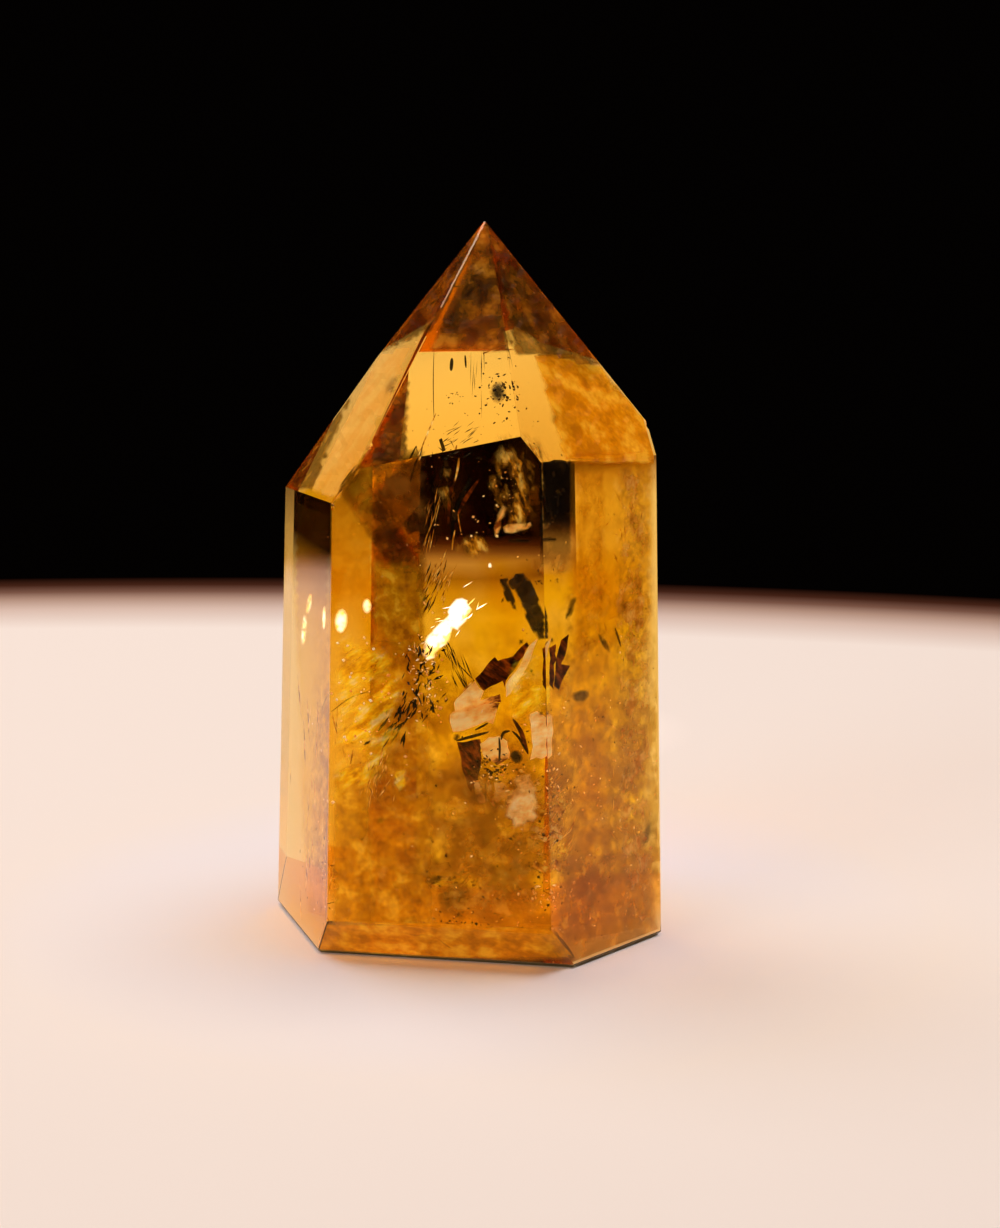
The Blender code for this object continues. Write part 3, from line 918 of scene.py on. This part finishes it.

# Soft coloured clouds behind each face. Most glow a little of their own, a painted light; the sun, honey, window,
# orange and left sheets paint light and shade that the faces show of the floor and the dark room

rightSlope = [(532, 354), (560, 350), (600, 362), (662, 432), (660, 462), (563, 462), (548, 407)]
clouds = {
    "gold_cloud": {
        "sheets": {
            "middleGold": {"outline": [(504, 650), (545, 650), (546, 730), (508, 728)], "depth": 12.0,
                           "fade": 12.0, "step": 6, "seed": 3},
            "rightBand": {"outline": [(572, 466), (610, 466), (610, 660), (574, 660)], "depth": 4.0,
                          "fade": 8.0, "step": 6, "seed": 6},
            "underBlack": {"outline": oval(474, 552, 24, 22), "depth": 10.0, "fade": 8.0, "step": 4,
                           "seed": 5},
        },
        "look": {"tones": [(0.25, (200, 140, 10)), (0.5, (255, 214, 50)), (0.8, (255, 244, 170))],
                 "grain": 2.0, "cover": 0.7, "contrast": 4.0, "opacity": 0.75, "through": 0.6,
                 "filterShare": 0.3, "glow": 0.1, "detail": 3.0},
    },
    # golden_veil: golden veils of the lower front, with a glow of their own: painted light
    "golden_veil": {
        "sheets": {
            "leftLow": {"outline": [(366, 640), (404, 622), (434, 640), (442, 940), (352, 940), (356, 800)],
                        "depth": 3.0, "fade": 10.0, "step": 7, "relief": 0.3, "seed": 12},
            "underBrown": {"outline": [(366, 556), (426, 562), (430, 652), (368, 652)], "depth": 2.0,
                           "fade": 12.0, "step": 6, "seed": 16},
            "besideRim": {"outline": [(328, 770), (372, 760), (380, 935), (328, 935)], "depth": 2.4,
                          "fade": 8.0, "step": 7, "seed": 15},
        },
        "look": {"tones": [(0.2, (150, 92, 1)), (0.4, (184, 121, 1)), (0.62, (206, 143, 4)),
                           (0.86, (240, 190, 44))], "grain": 2.4, "cover": 1.3, "contrast": 2.0,
                 "opacity": 0.82, "through": 0.5, "filterShare": 0.2, "filterTone": (230, 196, 10),
                 "glow": 0.58, "detail": 3.0},
    },
    # painted highlight: yellow veils and folds behind the left of the front face, with a strong glow of their own
    "sun_glow_veil": {
        "sheets": {
            "leftYellow": {"outline": [(329, 640), (350, 628), (404, 650), (408, 736), (380, 790),
                                       (329, 806)], "depth": 1.6, "fade": 16.0, "step": 6, "seed": 2},
            "foldOne": {"outline": [(362, 690), (384, 680), (404, 688), (398, 700), (376, 704)], "depth": 1.2,
                        "fade": 3.0, "jitter": 1.6, "seed": 3},
            "foldTwo": {"outline": [(340, 735), (356, 724), (378, 730), (380, 742), (360, 750), (344, 748)],
                        "depth": 1.2, "fade": 3.0, "jitter": 1.6, "seed": 4},
            "foldThree": {"outline": [(392, 772), (404, 768), (408, 784), (398, 794), (392, 786)],
                          "depth": 1.2, "fade": 2.0, "jitter": 1.4, "seed": 5},
            "rightGlow": {"outline": [(504, 655), (546, 650), (546, 726), (508, 724)], "depth": 3.0,
                          "fade": 8.0, "step": 6, "seed": 6},
        },
        "look": {"tones": [(0.2, (186, 122, 1)), (0.42, (240, 180, 2)), (0.6, (255, 222, 40)),
                           (0.8, (255, 244, 150))], "grain": 2.2, "stretch": (0.6, 1.0, 1.5), "slant": -35.0,
                 "cover": 0.8, "contrast": 3.0, "opacity": 0.8, "through": 0.5, "filterShare": 0.2,
                 "filterTone": (255, 220, 10), "glow": 0.85, "detail": 3.0},
    },
    # painted light: glowing honey sheets just behind the right slope and the chamfer, for the light those faces
    # let through
    "honey_painted_light": {
        "sheets": {
            "slope": {"outline": rightSlope, "depth": 1.2, "fade": 3.0, "step": 6, "seed": 17},
            "chamfer": {"outline": [(312, 920), (584, 926), (572, 962), (312, 962)], "depth": 0.8,
                        "fade": 2.0, "step": 6, "relief": 0.1, "jitter": 0, "seed": 14},
        },
        "look": {"tones": [(0.25, (184, 112, 1)), (0.5, (218, 140, 4)), (0.8, (244, 184, 44))], "grain": 3.2,
                 "cover": 1.4, "contrast": 1.5, "opacity": 0.85, "through": 0.5, "filterShare": 0.2,
                 "filterTone": (240, 200, 14), "glow": 0.75, "detail": 3.0},
    },
    # painted light: a glowing peach sheet just behind the upper left tip face, for the bright band that face shows
    "window_painted_light": {
        "sheets": {
            "left": {"outline": [(376, 354), (422, 338), (369, 449), (335, 502), (306, 490), (352, 400)],
                     "depth": 0.9, "fade": 2.0, "step": 6, "seed": 2},
        },
        "look": {"tones": [(0.3, (250, 176, 74)), (0.7, (255, 196, 96))], "grain": 5.0, "cover": 1.4,
                 "contrast": 1.0, "opacity": 0.5, "through": 0.5, "glow": 0.9, "detail": 3.0},
    },
    "amber_veil": {
        "sheets": {
            "rightFoot": {"outline": [(553, 850), (658, 850), (662, 975), (560, 975), (553, 930)],
                          "depth": 1.8, "fade": 6.0, "step": 8, "seed": 16},
            "frontLow": {"outline": [(426, 770), (548, 770), (548, 935), (426, 935)], "depth": 3.4,
                         "fade": 20.0, "step": 8, "seed": 18},
        },
        "look": {"tones": [(0.25, (130, 80, 1)), (0.45, (172, 110, 2)), (0.62, (198, 132, 8)),
                           (0.85, (240, 190, 70))], "grain": 2.4, "cover": 1.1, "contrast": 2.5,
                 "opacity": 0.7, "through": 0.5, "filterShare": 0.3, "filterTone": (220, 190, 10),
                 "glow": 0.24, "detail": 3.0},
    },
    # painted light: tinted, faintly glowing films just behind the faces, for the orange bands those faces show of
    # the floor
    "orange_painted_light": {
        "sheets": {
            "leftBand": {"outline": [(326, 462), (376, 462), (376, 650), (326, 650)], "depth": 1.2,
                         "fade": 5.0, "lowFade": 60.0, "step": 6, "relief": 0.1, "jitter": 0, "seed": 2},
            "rightBand": {"outline": [(568, 450), (657, 450), (657, 700), (568, 700)], "depth": 1.4,
                          "fade": 8.0, "lowFade": 100.0, "step": 6, "relief": 0.1, "jitter": 0, "seed": 3},
            "slope": {"outline": rightSlope, "depth": 2.2, "fade": 3.0, "step": 6, "relief": 0.1, "seed": 4},
        },
        "look": {"tones": [(0.3, (186, 118, 2)), (0.5, (214, 146, 6)), (0.7, (244, 186, 34))], "grain": 2.6,
                 "cover": 1.1, "contrast": 1.6, "opacity": 0.9, "filterShare": 0.78,
                 "filterTone": (240, 206, 14), "glow": 0.3, "detail": 3.0},
    },
    # painted shade: a dark tinted film just behind the upper part of the left face, fading downwards
    "left_painted_shade": {
        "sheets": {
            "upper": {"outline": [(294, 500), (331, 512), (331, 680), (294, 680)], "depth": 1.0, "fade": 1.5,
                      "lowFade": 110.0, "step": 6, "relief": 0.05, "jitter": 0, "seed": 2},
        },
        "look": {"tones": [(0.3, (110, 72, 4)), (0.7, (160, 110, 16))], "grain": 4.0, "cover": 1.4,
                 "contrast": 1.0, "opacity": 0.95, "filterShare": 0.9, "filterTone": (232, 190, 36),
                 "glow": 0.05, "detail": 2.0},
    },
    "ember_cloud": {
        "sheets": {
            "smoke": {"outline": oval(513, 488, 60, 100), "depth": 5.6, "fade": 14.0, "step": 4, "seed": 4},
            "under": {"outline": oval(474, 546, 46, 30), "depth": 5.4, "fade": 9.0, "step": 4, "seed": 16},
            "left": {"outline": oval(450, 492, 24, 60, -14), "depth": 5.0, "fade": 8.0, "step": 4,
                     "seed": 17},
        },
        "look": {"tones": [(0.3, (48, 26, 2)), (0.48, (128, 80, 8)), (0.62, (205, 142, 30)),
                           (0.8, (252, 212, 110))], "grain": 1.3, "stretch": (1.0, 1.0, 0.5), "slant": -20.0,
                 "cover": 0.56, "contrast": 5.0, "opacity": 0.85, "through": 0.3, "glow": 0.3, "detail": 4.0},
    },
    "tip_veil": {
        "gap": 0.1 * mm,
        "sheets": {
            "left": {"outline": [(488, 210), (470, 262), (436, 332), (421, 337), (376, 357), (334, 372),
                                 (392, 300)], "depth": 0.4, "fade": 0.6, "step": 5, "jitter": 0.3, "seed": 2},
            "front": {"outline": [(484, 214), (512, 262), (534, 355), (478, 353), (426, 353), (462, 272)],
                      "depth": 0.5, "fade": 0.4, "step": 5, "jitter": 0.3, "seed": 3},
            "right": {"outline": [(480, 208), (574, 300), (646, 380), (600, 368), (552, 358), (514, 355),
                                  (496, 270)], "depth": 0.5, "fade": 0.8, "step": 5, "seed": 4},
            "beside": {"outline": [(434, 338), (411, 371), (409, 458), (366, 466), (392, 400)], "depth": 0.35,
                       "fade": 0.6, "step": 5, "seed": 5},
            "slant": {"outline": [(333, 466), (364, 464), (384, 500), (428, 575), (420, 612), (372, 545),
                                  (340, 500)], "depth": 2.2, "fade": 6.0, "step": 5, "seed": 6},
        },
        "look": {"tones": [(0.25, (58, 32, 1)), (0.5, (116, 68, 3)), (0.7, (164, 100, 10)),
                           (0.9, (216, 146, 36))], "grain": 3.4, "cover": 1.6, "contrast": 2.0,
                 "opacity": 0.85, "through": 0.5, "filterShare": 0.35, "filterTone": (130, 118, 40),
                 "glow": 0.12, "detail": 3.0},
    },
    "russet_cloud": {
        "sheets": {
            "leftBrown": {"outline": [(368, 458), (410, 455), (427, 456), (429, 560), (427, 640), (400, 660),
                                      (370, 620)], "depth": 4.0, "fade": 6.0, "step": 6, "seed": 2},
            "leftRim": {"outline": [(336, 392), (370, 352), (352, 400), (312, 494), (284, 486)], "depth": 0.8,
                        "fade": 1.5, "step": 5, "seed": 8},
            "footRight": {"outline": [(536, 930), (586, 934), (574, 966), (538, 966)], "depth": 1.2,
                          "fade": 6.0, "step": 5, "relief": 0.1, "seed": 9},
        },
        "look": {"tones": [(0.25, (60, 34, 1)), (0.5, (104, 62, 3)), (0.7, (140, 90, 8)),
                           (0.88, (214, 156, 44))], "grain": 2.0, "cover": 1.5, "contrast": 2.0,
                 "opacity": 0.86, "through": 0.5, "filterShare": 0.35, "filterTone": (180, 162, 30),
                 "detail": 3.0},
    },
    "brown_cloud": {
        "sheets": {
            "besideRidge": {"outline": [(470, 262), (431, 345), (410, 371), (408, 456), (378, 462),
                                        (400, 400), (440, 310)], "depth": 3.0, "fade": 4.0, "step": 6,
                            "seed": 4},
            "tipLeft": {"outline": [(470, 250), (484, 262), (462, 345), (432, 344), (448, 300)], "depth": 2.0,
                        "fade": 4.0, "step": 6, "seed": 10},
            "tipFront": {"outline": [(480, 232), (515, 300), (532, 352), (440, 343), (462, 280)],
                         "depth": 3.0, "fade": 4.0, "step": 6, "seed": 5},
            "tipRight": {"outline": [(490, 236), (560, 318), (640, 410), (560, 372), (534, 350)],
                         "depth": 3.0, "fade": 4.0, "step": 6, "seed": 6},
            "rightSlope": {"outline": [(545, 356), (570, 366), (560, 400), (590, 430), (566, 448),
                                       (548, 420)], "depth": 4.0, "fade": 8.0, "step": 7, "seed": 7},
            # leftHigh: painted shade, a dark sheet that holds back the lamp light falling on the russet sheet
            # behind it
            "leftHigh": {"outline": [(370, 461), (428, 455), (430, 540), (398, 530), (372, 500)],
                         "depth": 2.8, "fade": 4.0, "step": 5, "seed": 11},
            "blackHaze": {"outline": oval(534, 515, 16, 36), "depth": 9.0, "fade": 7.0, "step": 5, "seed": 9},
        },
        "look": {"tones": [(0.25, (50, 26, 6)), (0.5, (120, 74, 20)), (0.8, (210, 150, 70))], "grain": 3.0,
                 "cover": 0.85, "contrast": 3.0, "opacity": 0.75, "filterShare": 0.7,
                 "filterTone": (120, 122, 60), "detail": 3.0},
    },
    "fine_grain": {
        "sheets": {
            "front": {"outline": [(334, 700), (546, 760), (546, 925), (338, 925)], "depth": 1.0, "fade": 20.0,
                      "step": 8, "seed": 2},
            "right": {"outline": [(552, 560), (655, 600), (655, 940), (554, 925)], "depth": 1.0, "fade": 16.0,
                      "step": 8, "seed": 3},
            "rightTop": {"outline": [(612, 462), (655, 462), (655, 640), (612, 620)], "depth": 1.0,
                         "fade": 8.0, "step": 6, "seed": 4},
        },
        "look": {"tones": [(0.3, (112, 66, 1)), (0.46, (176, 112, 2)), (0.6, (210, 146, 10)),
                           (0.78, (250, 204, 84))], "grain": 1.5, "cover": 0.3, "contrast": 4.0,
                 "opacity": 0.5, "through": 0.4, "filterShare": 0.25, "filterTone": (220, 180, 10),
                 "glow": 0.1, "detail": 3.0},
    },
    "pale_cloud": {
        "sheets": {
            "rightEdge": {"outline": [(616, 462), (656, 462), (657, 930), (618, 950), (610, 700)],
                          "depth": 1.0, "fade": 12.0, "step": 8, "seed": 2},
            "heart": {"outline": oval(522, 800, 36, 60), "depth": 9.0, "fade": 10.0, "step": 5, "seed": 3},
            "pastel": {"outline": oval(558, 566, 26, 26), "depth": 5.0, "fade": 8.0, "step": 5, "seed": 4},
            "besideHeart": {"outline": oval(538, 722, 18, 30), "depth": 8.0, "fade": 6.0, "step": 5,
                            "seed": 6},
        },
        "look": {"tones": [(0.2, (170, 108, 24)), (0.5, (226, 164, 74)), (0.8, (255, 226, 160))],
                 "grain": 1.6, "cover": 0.55, "contrast": 4.5, "opacity": 0.7, "through": 0.5, "detail": 3.0},
    },
}
for name, cloud in clouds.items():
    makePiece(name, shapes(cloud), inclusionLook(name, **cloud["look"]), cloud.get("gap", skin))
print("clouds hung")

# Light passes many faces and veils before it leaves the crystal
lightPasses = {"transparent_max_bounces": 64, "max_bounces": 14, "diffuse_bounces": 2, "transmission_bounces": 12}
for name, passes in lightPasses.items():
    setattr(bpy.context.scene.cycles, name, passes)
